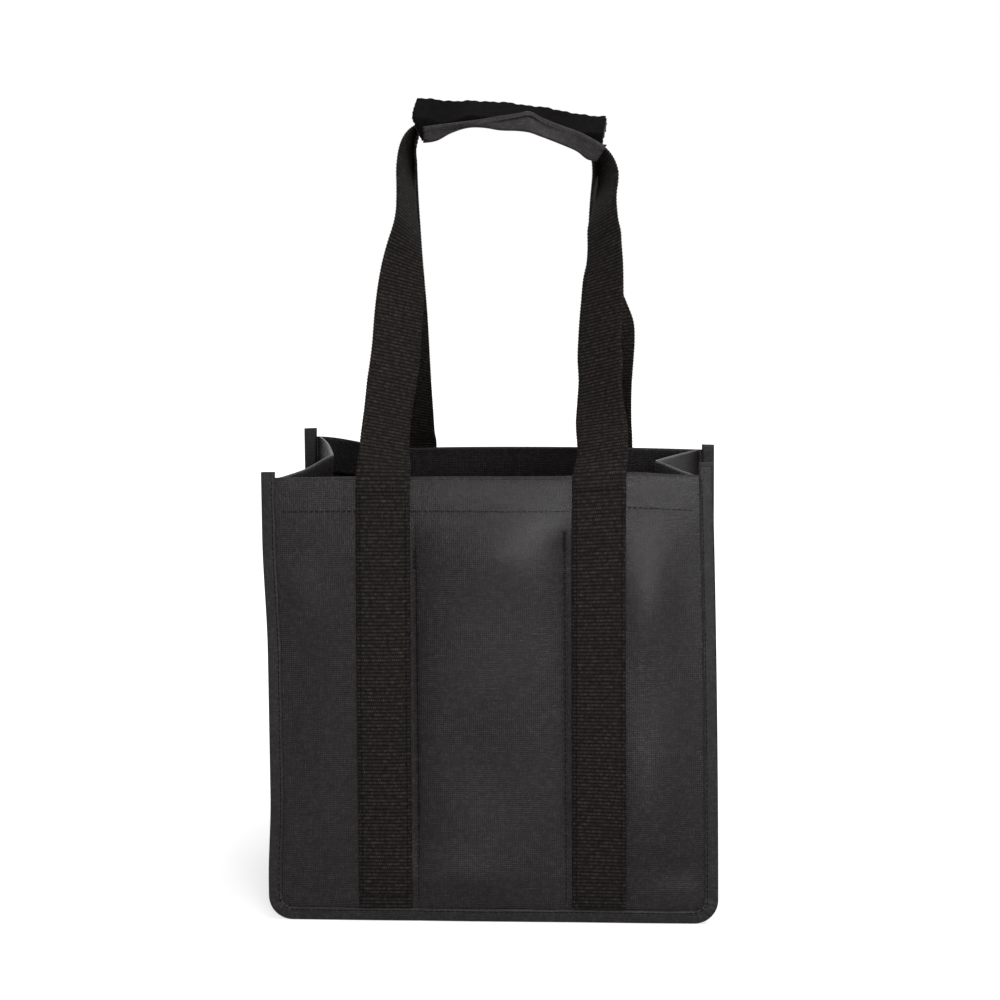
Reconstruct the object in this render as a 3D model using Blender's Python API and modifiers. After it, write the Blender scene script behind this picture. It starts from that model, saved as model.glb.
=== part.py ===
"""A six-cell wine carrier bag of black nonwoven cloth, with two webbing handles and a closing grip wrap.

Metres, +Z up. The front panel faces -Y, and "left" is -X as seen from the front. The bag stands on its two
bound bottom seams at Z = 0, with its middle over the origin. The handles stand up together, as when carried.
Every cloth piece is an open surface on the middle of the cloth, given its thickness by Solidify.
"""

import math

import bpy
import numpy as np

# Cloth, tape and the clearance that touching pieces keep
cloth = 0.0008
tape = 0.0005
gap = 0.0003
fold_radius = 0.0012
tape_fold = 0.0008

# Body of the bag
bag_width = 0.250
bag_depth = 0.170
panel_height = 0.246
seam_fin = 0.009
corner_radius = 0.013
hem_height = 0.021
post_rise = 0.003
crease_depth = 0.024
crease_fade_share = 0.45
web_shares = (-0.66, -0.33, -0.08, 0, 0.08, 0.33, 0.66)

# Dividers and bottom board
divider_drop = 0.033
middle_cell_width = 0.082
sewing_flange = 0.010
board_thickness = 0.002
board_corner = 0.006

# Webbing straps and their free loops, the handles
strap_width = 0.030
strap_thickness = 0.0016
strap_edge = 0.0004
strap_spacing = 0.118
strap_foot = 0.010
handle_start = 0.0006
grip_height = 0.193
grip_tilt = math.radians(27)
grip_slope_share = 0.088
grip_shift = 0.004
front_spread = 0.122
back_spread = 0.112
front_bend = 0.008
back_bend = 0.003

# Grip wrap with its hook-and-loop tape
wrap_length = 0.106
wrap_tape = 0.001
loop_strip_width = 0.025
hook_strip_width = 0.008
tape_margin = 0.0015
upper_flap_reach = 0.023
lower_flap_reach = 0.009

# How a handle's leg rises from the bag's edge to the grip, bottom first: share of the height, share of its
# way out from the grip to the panel, share of its change of spacing, and share of its quarter twist
leg_shares = (
    (0.00, 1.00, 0.0, 0.00),
    (0.30, 0.68, 0.0, 0.14),
    (0.52, 0.44, 0.1, 0.26),
    (0.74, 0.20, 0.7, 0.74),
    (0.86, 0.09, 1.0, 0.95),
    (0.93, 0.03, 1.0, 1.00),
)

# How finely the curved surfaces are divided
corner_steps = 6
fold_steps = 3
side_rows = 12
leg_rows = 22
bend_steps = 6
strap_columns = 3
wrap_columns = 7

# Places worked out from the sizes. Each Y is a distance from the bag's middle plane to a layer of the seam.
face_y = bag_depth / 2
panel_y = face_y - cloth / 2
flange_y = panel_y - cloth - gap
outer_tape_y = face_y + gap + tape / 2
inner_tape_y = flange_y - cloth / 2 - gap - tape / 2
strap_y = face_y + gap + strap_thickness / 2
hinge_y = face_y + gap + strap_thickness + gap
edge_x = bag_width / 2 - tape - gap
edge_z = tape + gap
side_x = bag_width / 2 - seam_fin - cloth / 2
floor_z = seam_fin + cloth / 2
inner_radius = corner_radius - seam_fin
board_bottom = floor_z + cloth / 2 + gap
divider_bottom = board_bottom + board_thickness + gap
divider_top = panel_height - divider_drop
hem_half = side_x - cloth / 2 - gap
grip_z = panel_height + grip_height
side_heights = np.linspace(floor_z + inner_radius, panel_height - cloth - gap / 2, side_rows)

# Layers of the grip, counted from the plane between the two straps, outwards
strap_level = (gap + strap_thickness) / 2
wrap_level = gap / 2 + strap_thickness + gap + cloth / 2
loop_level = wrap_level + cloth / 2 + gap + wrap_tape / 2
hook_level = loop_level + wrap_tape + gap
cover_level = hook_level + wrap_tape / 2 + gap + cloth / 2


def material(name, colour, roughness):
    """A plain material for one object: colour as linear red, green and blue."""
    look = bpy.data.materials.new(name)
    look.use_nodes = True
    shader = look.node_tree.nodes["Principled BSDF"]
    shader.inputs["Base Color"].default_value = (*colour, 1)
    shader.inputs["Roughness"].default_value = roughness
    shader.inputs["Metallic"].default_value = 0
    return look


nonwoven = ((0.033, 0.030, 0.031), 0.85)
binding_tape = ((0.028, 0.026, 0.026), 0.75)
webbing = ((0.019, 0.017, 0.016), 0.8)
hook_and_loop = ((0.010, 0.010, 0.010), 0.95)
grey_board = ((0.05, 0.05, 0.05), 0.6)


def finish(obj, finish_values, parts, origin=(0, 0, 0), parent=None):
    """Puts an object in the collection, with its material and origin, and on its hinge if it has one."""
    obj.data.materials.append(material(obj.name, *finish_values))
    parts.objects.link(obj)
    obj.location = origin
    if parent:
        obj.parent = parent
        obj.location = np.array(origin) - np.array(parent.matrix_world.translation)
    return obj


def sheet(name, points, thickness, finish_values, parts, keep=None, origin=(0, 0, 0), parent=None):
    """A sheet whose middle surface runs through a grid of points (rows, columns, 3); keep marks its faces."""
    rows, columns = points.shape[:2]
    index = np.arange(rows * columns).reshape(rows, columns)
    quads = np.stack([index[:-1, :-1], index[:-1, 1:], index[1:, 1:], index[1:, :-1]], axis=-1)
    quads = quads[keep] if keep is not None else quads.reshape(-1, 4)
    used, renumbered = np.unique(quads, return_inverse=True)
    vertices = points.reshape(-1, 3)[used] - np.array(origin)
    mesh = bpy.data.meshes.new(name)
    mesh.from_pydata(vertices.tolist(), [], renumbered.reshape(-1, 4).tolist())
    mesh.update()
    obj = bpy.data.objects.new(name, mesh)
    wall = obj.modifiers.new("Cloth thickness", "SOLIDIFY")
    wall.thickness = thickness
    wall.offset = 0
    wall.use_even_offset = True
    return finish(obj, finish_values, parts, origin, parent)


def rounded(corners, radius, steps):
    """A path through corners in a plane, each inner corner turned into an arc of the radius given."""
    corners = np.array(corners, float)
    path = [corners[0]]
    for before, corner, after in zip(corners, corners[1:], corners[2:]):
        arriving = (corner - before) / np.linalg.norm(corner - before)
        leaving = (after - corner) / np.linalg.norm(after - corner)
        turn = math.acos(np.clip(arriving @ leaving, -1, 1))
        start = corner - arriving * radius * math.tan(turn / 2)
        inward = leaving - arriving * (arriving @ leaving)
        centre = start + radius * inward / np.linalg.norm(inward)
        for angle in np.linspace(0, turn, steps + 1):
            point = centre + (start - centre) * math.cos(angle) + arriving * radius * math.sin(angle)
            if not np.allclose(point, path[-1]):
                path.append(point)
    path.append(corners[-1])
    return np.array(path)


def smooth(stations, at):
    """Values read at shares, on a smooth curve through stations (share, value, value...)."""
    stations = np.array(stations, float)
    share, values = stations[:, 0], stations[:, 1:]
    slope = np.gradient(values, share, axis=0)
    k = np.clip(np.searchsorted(share, at, side="right") - 1, 0, len(share) - 2)
    span = share[k + 1] - share[k]
    t = ((at - share[k]) / span)[:, None]
    rise = values[k + 1] - values[k]
    a = slope[k] * span[:, None] - rise
    b = rise - slope[k + 1] * span[:, None]
    return values[k] + rise * t + t * (1 - t) * (a * (1 - t) + b * t)


def crease(height, y):
    """How far a side stands in at this height and depth: a fold along its middle, gone below the fade height.

    It is read between the gusset's own rows, so that what is sewn to the fold lies flat on it.
    """
    fade = crease_fade_share * panel_height
    climb = np.clip((side_heights - fade) / (panel_height - fade), 0, 1)
    tent = 1 - np.abs(y) / flange_y
    return np.interp(height, side_heights, crease_depth * climb**2 * (3 - 2 * climb)) * tent


def seam_path(heights):
    """Stations down the left side, round the bottom and up the right, on the gusset's middle surface.

    Takes the heights of the stations on the straight sides, lowest first, where the round corner starts.
    Returns X, Z and the outward direction at each station.
    """
    down = heights[:0:-1]
    angle = np.linspace(0, math.pi / 2, corner_steps + 1)
    x = np.concatenate([np.full(len(down), side_x), side_x - inner_radius * (1 - np.cos(angle)), [0]])
    z = np.concatenate([down, floor_z + inner_radius * (1 - np.sin(angle)), [floor_z]])
    out_x = np.concatenate([np.ones(len(down)), np.cos(angle), [0]])
    out_z = np.concatenate([np.zeros(len(down)), -np.sin(angle), [-1]])
    back = slice(-2, None, -1)
    return (
        np.concatenate([-x, x[back]]),
        np.concatenate([z, z[back]]),
        np.concatenate([-out_x, out_x[back]]),
        np.concatenate([out_z, out_z[back]]),
    )


def hem():
    """A hem's section, from its lower edge inside, over the fold, to the sheet's face: (inward, height)."""
    inside = cloth + gap
    top = panel_height - cloth / 2
    corners = [(inside, panel_height - hem_height), (inside, top), (0, top), (0, panel_height - hem_height)]
    return rounded(corners, inside / 2, fold_steps)[:-1]


def panel(name, side, parts):
    """A front or back panel with round bottom corners and a hem turned in at its top."""
    turn = np.linspace(0, math.pi / 2, corner_steps + 1)
    radius = corner_radius - edge_z
    inward, hem_z = hem()[::-1].T
    half = np.concatenate([edge_x - radius * (1 - np.sin(turn)), np.full(len(hem_z), edge_x)])
    y = panel_y - np.concatenate([np.zeros(len(turn)), inward])
    z = np.concatenate([edge_z + radius * (1 - np.cos(turn)), hem_z])
    width_shares = np.array([-1, -hem_half / edge_x, 0, hem_half / edge_x, 1])
    points = np.empty((len(z), len(width_shares), 3))
    points[..., 0] = half[:, None] * width_shares
    points[..., 1] = side * y[:, None]
    points[..., 2] = z[:, None]
    keep = np.ones((len(z) - 1, len(width_shares) - 1), bool)
    keep[len(turn):, [0, -1]] = False
    return sheet(name, points, cloth, nonwoven, parts, keep)


def gusset(parts):
    """The strip of both sides and the bottom, its long edges turned out into the seams, its tops hemmed."""
    x, z, out_x, out_z = seam_path(side_heights)
    inward, hem_z = hem()[:-1].T
    hems = len(hem_z)
    x, out_x = (np.pad(values, hems, mode="edge") for values in (x, out_x))
    out_z = np.pad(out_z, hems)
    z = np.concatenate([hem_z, z, hem_z[::-1]])
    inward = np.concatenate([inward, np.zeros(len(z) - 2 * hems), inward[::-1]])
    fin = edge_x - side_x
    corners = [(fin, -flange_y), (0, -flange_y), (0, flange_y), (fin, flange_y)]
    section = rounded(corners, fold_radius, fold_steps)
    web_half = flange_y - fold_radius
    middle = len(section) // 2
    out = np.insert(section[:, 0], middle, np.zeros(len(web_shares)))
    y = np.insert(section[:, 1], middle, web_half * np.array(web_shares))
    out = out - inward[:, None] - np.abs(out_x)[:, None] * crease(z[:, None], y)
    points = np.empty((len(z), len(y), 3))
    points[..., 0] = x[:, None] + out_x[:, None] * out
    points[..., 1] = y
    points[..., 2] = z[:, None] + out_z[:, None] * out
    keep = np.ones((len(z) - 1, len(y) - 1), bool)
    flanges = np.abs(y[:-1] + y[1:]) / 2 > web_half
    keep[:hems, flanges] = False
    keep[-hems:, flanges] = False
    return sheet("gusset_strip", points, cloth, nonwoven, parts, keep)


def binding(name, side, parts):
    """Tape folded over the edge of a seam, from its left post, round the bottom, to its right post."""
    x, z, out_x, out_z = seam_path(np.array([side_heights[0], panel_height + post_rise]))
    reach = bag_width / 2 - tape / 2 - side_x
    root = cloth / 2 + gap + fold_radius
    section = rounded(
        [(root, outer_tape_y), (reach, outer_tape_y), (reach, inner_tape_y), (root, inner_tape_y)],
        tape_fold, fold_steps,
    )
    points = np.empty((len(z), len(section), 3))
    points[..., 0] = x[:, None] + out_x[:, None] * section[:, 0]
    points[..., 1] = side * section[:, 1]
    points[..., 2] = z[:, None] + out_z[:, None] * section[:, 0]
    return sheet(name, points, tape, binding_tape, parts)


def long_divider(parts):
    """The lengthwise divider, cut to the slope of the sides, with a flange sewn to each side's fold."""
    between = side_heights[(side_heights > divider_bottom) & (side_heights < divider_top)]
    heights = np.concatenate([[divider_bottom], between, [divider_top]])
    rows = []
    for height in heights:
        reach = side_x - cloth - gap - crease(height, np.array([0, sewing_flange]))
        rows.append(rounded(
            [(-reach[1], sewing_flange), (-reach[0], 0), (reach[0], 0), (reach[1], -sewing_flange)],
            fold_radius, fold_steps,
        ))
    points = np.empty((len(rows), len(rows[0]), 3))
    points[..., :2] = rows
    points[..., 2] = heights[:, None]
    return sheet("long_divider", points, cloth, nonwoven, parts)


def cross_divider(name, side_in_x, side_in_y, parts):
    """A divider between a panel and the lengthwise one, with a flange turned outwards at each."""
    x = side_in_x * middle_cell_width / 2
    tip = x + side_in_x * sewing_flange
    far = side_in_y * flange_y
    near = side_in_y * (cloth + gap)
    path = rounded([(tip, far), (x, far), (x, near), (tip, near)], fold_radius, fold_steps)
    points = np.empty((2, len(path), 3))
    points[..., :2] = path
    points[..., 2] = np.array([divider_bottom, divider_top])[:, None]
    return sheet(name, points, cloth, nonwoven, parts)


def bottom_board(parts):
    """The loose board that keeps the bottom flat: a flat outline with round corners, given its thickness."""
    half_x = side_x - inner_radius
    half_y = flange_y - fold_radius - gap
    centre_x = half_x - board_corner
    centre_y = half_y - board_corner
    outline = bpy.data.curves.new("base_board", "CURVE")
    outline.dimensions = "2D"
    outline.fill_mode = "BOTH"
    outline.extrude = board_thickness / 2
    turn = np.linspace(0, math.pi / 2, corner_steps)
    rim = []
    for quarter, (x, y) in enumerate(((1, 1), (-1, 1), (-1, -1), (1, -1))):
        angle = turn + quarter * math.pi / 2
        arc_x = x * centre_x + board_corner * np.cos(angle)
        arc_y = y * centre_y + board_corner * np.sin(angle)
        rim += list(zip(arc_x, arc_y))
    spline = outline.splines.new("POLY")
    spline.points.add(len(rim) - 1)
    for point, (x, y) in zip(spline.points, rim):
        point.co = (x, y, 0, 1)
    spline.use_cyclic_u = True
    board = bpy.data.objects.new("base_board", outline)
    return finish(board, grey_board, parts, (0, 0, board_bottom + board_thickness / 2))


def sewn_strap(name, side_in_x, side_in_y, parts):
    """The stretch of webbing sewn flat on a panel, from just above the bottom binding to the panel's top."""
    bpy.ops.mesh.primitive_cube_add(size=1)
    strap = bpy.context.object
    strap.name = name
    strap.scale = (strap_width, strap_thickness, panel_height - strap_foot)
    bpy.ops.object.transform_apply(location=False, rotation=False, scale=True)
    for collection in strap.users_collection:
        collection.objects.unlink(strap)
    edge = strap.modifiers.new("Woven edge", "BEVEL")
    edge.width = strap_edge
    edge.segments = 2
    middle = (side_in_x * strap_spacing / 2, side_in_y * strap_y, (panel_height + strap_foot) / 2)
    return finish(strap, webbing, parts, middle)


def leaned(points):
    """Points of a handle moved as the photographed handles lean: to the right, and lower at the right."""
    share = (points[..., 2:] - panel_height) / grip_height
    shift = share * np.array([grip_shift, 0, 0])
    drop = share * points[..., :1] * np.array([0, 0, grip_slope_share])
    return points + shift - drop


def in_grip(across, level):
    """A place in the grip's section: across the straps towards the back, and above the plane between them."""
    y = across * math.cos(grip_tilt) - level * math.sin(grip_tilt)
    z = across * math.sin(grip_tilt) + level * math.cos(grip_tilt)
    return y, grip_z + z


def handle(name, side, level, spread, bend, parts, hinge):
    """The free loop of a strap: up one leg with a quarter twist, flat along the grip, and down the other."""
    grip_y, top_z = in_grip(0, level)
    leg_top = grip_height + (top_z - grip_z) - bend
    start = handle_start / grip_height
    at = np.linspace(start, leg_shares[-1][0], leg_rows)
    away, spread_part, twist = smooth(leg_shares, at).T
    rise = at * leg_top / leg_shares[-1][0]
    leg_x = -(strap_spacing + (spread - strap_spacing) * spread_part) / 2
    leg_y = grip_y + (side * strap_y - grip_y) * away
    angle = np.linspace(0, math.pi / 2, bend_steps + 1)[1:]
    bend_x = -spread / 2 + bend * (1 - np.cos(angle))
    bend_rise = leg_top + bend * np.sin(angle)
    x = np.concatenate([leg_x, bend_x, [0]])
    y = np.concatenate([leg_y, np.full(len(bend_x) + 1, grip_y)])
    z = panel_height + np.concatenate([rise, bend_rise, bend_rise[-1:]])
    twist = np.concatenate([twist, np.ones(len(bend_x) + 1)]) * math.pi / 2
    lean = np.arctan2(np.gradient(y), np.gradient(z))[: leg_rows]
    settle = smooth(((0, 0), (leg_shares[2][0], 0), (1, 1)), at)[:, 0]
    slope = np.concatenate([-lean * (1 - settle) + grip_tilt * settle, np.full(len(bend_x) + 1, grip_tilt)])
    across = np.stack([
        np.cos(twist),
        -side * np.sin(twist) * np.cos(slope),
        -side * np.sin(twist) * np.sin(slope),
    ], axis=-1)
    centre = np.stack([x, y, z], axis=-1)
    mirror = np.array([-1, 1, 1])
    centre = np.concatenate([centre, centre[-2::-1] * mirror])
    across = np.concatenate([across, across[-2::-1] * mirror])
    reach = strap_width / 2 * np.linspace(-1, 1, strap_columns)
    points = centre[:, None] + across[:, None] * reach[:, None]
    return sheet(name, leaned(points), strap_thickness, webbing, parts, None, tuple(hinge.location), hinge)


def wrap_piece(name, path, length, thickness, finish_values, parts, hinge):
    """A piece of the grip wrap: a path across the grip, carried along it, that turns with a hinge's empty."""
    y, z = in_grip(path[:, 0], path[:, 1])
    along = length * np.linspace(-0.5, 0.5, wrap_columns)
    points = np.empty((len(path), wrap_columns, 3))
    points[..., 0] = along
    points[..., 1] = y[:, None]
    points[..., 2] = z[:, None]
    origin = tuple(hinge.matrix_world.translation)
    return sheet(name, leaned(points), thickness, finish_values, parts, None, origin, hinge)


def hinge_empty(name, place, parts, parent=None):
    """An empty on a joint's axis, which the pieces of that moving body are parented to."""
    empty = bpy.data.objects.new(name, None)
    empty.empty_display_size = strap_width
    parts.objects.link(empty)
    empty.location = place
    if parent:
        empty.parent = parent
        empty.location = np.array(place) - np.array(parent.location)
    bpy.context.view_layer.update()
    return empty


def grip_wrap(parts, carrier):
    """The wrap sewn under the back handle, its two flaps round both straps, and the tape that closes it."""
    half = strap_width / 2
    root = half + gap / 2
    under = -wrap_level - cloth / 2
    upper_hinge, lower_hinge = (
        hinge_empty(name, tuple(leaned(np.array([0, *in_grip(across, under)]))), parts, carrier)
        for name, across in (("upper_flap_hinge", root), ("lower_flap_hinge", -root))
    )
    base = np.array([(-half + gap / 2, -wrap_level), (half - gap / 2, -wrap_level)])
    wrap_piece("grip_wrap_base", base, wrap_length, cloth, nonwoven, parts, carrier)
    upper = rounded(
        [(root, -wrap_level), (root + wrap_level, -wrap_level), (root + wrap_level, wrap_level),
         (half - upper_flap_reach, wrap_level)],
        wrap_level, bend_steps,
    )[1:]
    wrap_piece("grip_upper_flap", upper, wrap_length, cloth, nonwoven, parts, upper_hinge)
    bulge = (cover_level + wrap_level) / 2
    lower = rounded(
        [(-root, -wrap_level), (-root - bulge, -wrap_level), (-root - bulge, cover_level),
         (lower_flap_reach - half, cover_level)],
        bulge, bend_steps,
    )[1:]
    wrap_piece("grip_lower_flap", lower, wrap_length, cloth, nonwoven, parts, lower_hinge)
    tape_length = wrap_length - tape_margin * 2
    loop_tape = np.array([(half - loop_strip_width, loop_level), (half - gap, loop_level)])
    wrap_piece("loop_strip", loop_tape, tape_length, wrap_tape, hook_and_loop, parts, upper_hinge)
    hook_tape = np.array([(-half, hook_level), (hook_strip_width - half, hook_level)])
    wrap_piece("hook_strip", hook_tape, tape_length, wrap_tape, hook_and_loop, parts, lower_hinge)


def build():
    for obj in list(bpy.data.objects):
        bpy.data.objects.remove(obj)
    parts = bpy.data.collections.new("wine_carrier_bag")
    bpy.context.scene.collection.children.link(parts)
    gusset(parts)
    long_divider(parts)
    bottom_board(parts)
    for row, side in (("front", -1), ("back", 1)):
        panel(f"{row}_panel", side, parts)
        binding(f"{row}_binding", side, parts)
        for hand, side_in_x in (("left", -1), ("right", 1)):
            cross_divider(f"{row}_{hand}_divider", side_in_x, side, parts)
            sewn_strap(f"{row}_{hand}_strap", side_in_x, side, parts)
    front_hinge = hinge_empty("front_handle_hinge", (0, -hinge_y, panel_height), parts)
    back_hinge = hinge_empty("back_handle_hinge", (0, hinge_y, panel_height), parts)
    handle("front_handle_loop", -1, strap_level, front_spread, front_bend, parts, front_hinge)
    handle("back_handle_loop", 1, -strap_level, back_spread, back_bend, parts, back_hinge)
    grip_wrap(parts, back_hinge)


build()
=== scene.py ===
# %% [markdown]
# # A wine carrier bag of black nonwoven cloth
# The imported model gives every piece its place, in metres, with the front panel facing -Y and +Z up. Its
# solids are stiff and plain. Here each one gets the form and finish of soft goods: thin cloth that ripples,
# hems, binding tape, ribbed webbing, hook-and-loop tape and rows of stitches.

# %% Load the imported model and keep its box
import math

import bpy
import numpy as np
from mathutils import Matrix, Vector


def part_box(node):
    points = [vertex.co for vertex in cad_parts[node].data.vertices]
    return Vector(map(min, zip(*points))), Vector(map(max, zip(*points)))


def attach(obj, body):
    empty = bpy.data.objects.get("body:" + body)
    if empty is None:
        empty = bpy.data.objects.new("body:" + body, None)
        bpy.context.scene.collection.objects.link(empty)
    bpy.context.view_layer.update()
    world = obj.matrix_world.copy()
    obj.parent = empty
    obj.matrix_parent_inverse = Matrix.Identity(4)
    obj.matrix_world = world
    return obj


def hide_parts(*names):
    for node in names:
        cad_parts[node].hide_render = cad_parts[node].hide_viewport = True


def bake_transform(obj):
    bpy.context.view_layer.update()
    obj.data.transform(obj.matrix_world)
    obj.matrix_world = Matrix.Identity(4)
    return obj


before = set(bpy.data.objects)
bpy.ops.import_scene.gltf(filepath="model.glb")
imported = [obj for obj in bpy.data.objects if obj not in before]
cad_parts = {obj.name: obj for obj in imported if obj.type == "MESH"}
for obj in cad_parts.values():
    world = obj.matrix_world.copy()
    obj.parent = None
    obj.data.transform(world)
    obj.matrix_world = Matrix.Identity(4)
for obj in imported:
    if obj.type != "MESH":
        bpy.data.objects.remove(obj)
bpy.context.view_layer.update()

# %% [markdown]
# ## Sizes
# Few sizes drive the bag. The rest follow from them, as on a maker's pattern: cloth thickness and the small
# clearance between sewn layers say how far from the middle each layer of a seam lies.

# %% Driving sizes and the layers that follow from them
mm = 0.001
cloth = 0.8 * mm
tape = 0.5 * mm
gap = 0.3 * mm
fold_radius = 1.2 * mm
bag_width = 250 * mm
bag_depth = 170 * mm
panel_height = 246 * mm
seam_fin = 9 * mm
corner_radius = 13 * mm
hem_height = 21 * mm
crease_depths = {"left": 18.5 * mm, "right": 24 * mm}
crease_fade = 0.45 * panel_height
divider_drop = 33 * mm
middle_cell = 82 * mm
sewing_flange = 10 * mm
strap_width = 30 * mm
strap_thickness = 1.6 * mm
strap_foot = 8.2 * mm
grip_height = 193 * mm
grip_slope = 0.088

face_y = bag_depth / 2
panel_y = face_y - cloth / 2
flange_y = panel_y - cloth - gap
outer_tape_y = face_y + gap + tape / 2
inner_tape_y = flange_y - cloth / 2 - gap - tape / 2
strap_y = face_y + gap + strap_thickness / 2
edge_x = bag_width / 2 - tape - gap
edge_z = tape + gap
side_x = bag_width / 2 - seam_fin - cloth / 2
floor_z = seam_fin + cloth / 2
inner_radius = corner_radius - seam_fin
divider_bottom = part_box("base_board")[1].z + gap
divider_top = panel_height - divider_drop
hem_half = side_x - cloth / 2 - gap
grip_z = panel_height + grip_height
row_sides = {"front": -1, "back": 1}
hand_sides = {"left": -1, "right": 1}
print(f"webbing lies {strap_y * 1000:.2f} mm from the middle, dividers stand {divider_bottom * 1000:.1f}"
      f" to {divider_top * 1000:.0f} mm high")

# %% [markdown]
# ## Camera, floor and light
# The photograph looks at the bag almost straight on, from a little above its middle, on white. The floor is
# white for the camera and keeps a faint shadow. More light could make it white, but would wash out the black
# cloth, so the floor glows for the camera alone. A small lamp stands close beside the camera, so that the
# nonwoven glows softly where it faces us, and a large weak one stands high up on the right.

# %% Camera
view_target = Vector((0.3 * mm, 0, 225.5 * mm))
view_roll = math.radians(0.45)


def stand_off(obj, azimuth, elevation, distance):
    """Puts an object on a sphere round the bag's middle, in degrees and metres, with its -Z axis inwards."""
    azimuth, elevation = math.radians(azimuth), math.radians(elevation)
    flat = distance * math.cos(elevation)
    away = Vector((flat * math.sin(azimuth), -flat * math.cos(azimuth), distance * math.sin(elevation)))
    obj.location = view_target + away
    obj.rotation_euler = (-away).to_track_quat("-Z", "Y").to_euler()
    bpy.context.scene.collection.objects.link(obj)


camera_data = bpy.data.cameras.new("Camera")
camera_data.lens = 91.7
camera_data.sensor_width = 36
camera = bpy.data.objects.new("Camera", camera_data)
stand_off(camera, 3.86, 6.91, 1.472)
camera.rotation_euler.rotate_axis("Z", -view_roll)
bpy.context.scene.camera = camera
bpy.context.scene.view_settings.view_transform = "Standard"
print("camera at", [round(v, 3) for v in camera.location])


# %% Lamps
def soft_lamp(name, azimuth, elevation, distance, size, power):
    """A square area lamp, its size in metres and its power in watts."""
    lamp_data = bpy.data.lights.new(name, "AREA")
    lamp_data.size = size
    lamp_data.energy = power
    stand_off(bpy.data.objects.new(name, lamp_data), azimuth, elevation, distance)


soft_lamp("Key", 8, 4, 1.15, 0.24, 5.6)
soft_lamp("Top", 40, 58, 1.6, 1.2, 14)


# %% Colours and nodes
def linear(hex_colour):
    """An sRGB hex colour such as "332f31" as linear red, green, blue and alpha."""
    channels = np.array([int(hex_colour[i:i + 2], 16) for i in (0, 2, 4)]) / 255
    low = channels / 12.92
    high = ((channels + 0.055) / 1.055) ** 2.4
    return (*np.where(channels <= 0.04045, low, high), 1)


def fill(tree, node, inputs):
    """Fills a node's sockets with values, or links them to sockets or to other nodes' first outputs."""
    for socket, value in inputs.items():
        if isinstance(value, bpy.types.Node):
            value = value.outputs[0]
        if isinstance(value, bpy.types.NodeSocket):
            tree.links.new(value, node.inputs[socket])
        else:
            node.inputs[socket].default_value = value


def add_node(tree, kind, inputs=None, **settings):
    """Adds a node, sets its own settings, and fills its sockets."""
    node = tree.nodes.new("ShaderNode" + kind)
    for setting, value in settings.items():
        setattr(node, setting, value)
    fill(tree, node, inputs or {})
    return node


print("white as linear values:", linear("ffffff"))

# %% World, white for whoever looks at it and dimmer as a light
ambient = 0.26
world = bpy.data.worlds.new("Studio")
world.use_nodes = True
bpy.context.scene.world = world
tree = world.node_tree
rays = add_node(tree, "LightPath").outputs
seen = add_node(tree, "Math", {0: rays["Is Camera Ray"], 1: rays["Is Glossy Ray"]}, operation="MAXIMUM")
seen = add_node(tree, "Math", {0: seen, 1: rays["Is Transmission Ray"]}, operation="MAXIMUM")
strength = add_node(tree, "MapRange", {"Value": seen, "To Min": ambient, "To Max": 1})
fill(tree, tree.nodes["Background"], {"Color": linear("ffffff"), "Strength": strength})
print("ambient light:", ambient)


# %% Helper for materials, and the floor
def new_material(name, hex_colour, roughness, specular=0.5):
    """A material with a Principled shader, its plain values set on the shader's own sockets."""
    look = bpy.data.materials.new(name)
    look.use_nodes = True
    tree = look.node_tree
    shader = tree.nodes["Principled BSDF"]
    fill(tree, shader, {"Base Color": linear(hex_colour), "Roughness": roughness, "Specular IOR Level": specular})
    return look, tree, shader


# Plain matt paper, which the camera sees brighter the further it lies from the bag, up to full white
floor_half = 4.0
floor_paper, tree, shader = new_material("White background paper", "f4f4f4", 0.9, 0.2)
floor_point = add_node(tree, "NewGeometry").outputs["Position"]
away = add_node(tree, "VectorMath", {0: floor_point}, operation="LENGTH").outputs["Value"]
brighter = add_node(tree, "MapRange", {
    "Value": away, "From Min": 0.12, "From Max": 0.6, "To Min": 0.62, "To Max": 1})
camera_ray = add_node(tree, "LightPath").outputs["Is Camera Ray"]
glow = add_node(tree, "Math", {0: camera_ray, 1: brighter}, operation="MULTIPLY")
fill(tree, shader, {"Emission Color": linear("ffffff"), "Emission Strength": glow})
floor_mesh = bpy.data.meshes.new("Floor")
floor_mesh.from_pydata(
    [(x * floor_half, y * floor_half, -0.2 * mm) for x, y in ((-1, -1), (1, -1), (1, 1), (-1, 1))],
    [], [(0, 1, 2, 3)])
floor_mesh.materials.append(floor_paper)
floor = bpy.data.objects.new("Floor", floor_mesh)
bpy.context.scene.collection.objects.link(floor)
print("floor:", 2 * floor_half, "m square")

# %% [markdown]
# ## Surfaces from grids
# Cloth could be pulled out of a box by hand, but then a change of size would mean starting again. Here each
# cloth is a grid of points worked out with numpy, so a size is changed in one place. A sheet gets its thickness
# from Solidify, half to each side, so that the grid is the middle of the cloth. A strap or a stitch is a closed
# section carried along a path. Every grid keeps a UV map in metres, so a weave can be drawn at its real size.


# %% Helpers that turn a grid of points into a mesh
def stacked(*columns):
    """Arrays that fit each other, as the last axis of one array."""
    return np.stack(np.broadcast_arrays(*columns), axis=-1)


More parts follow.
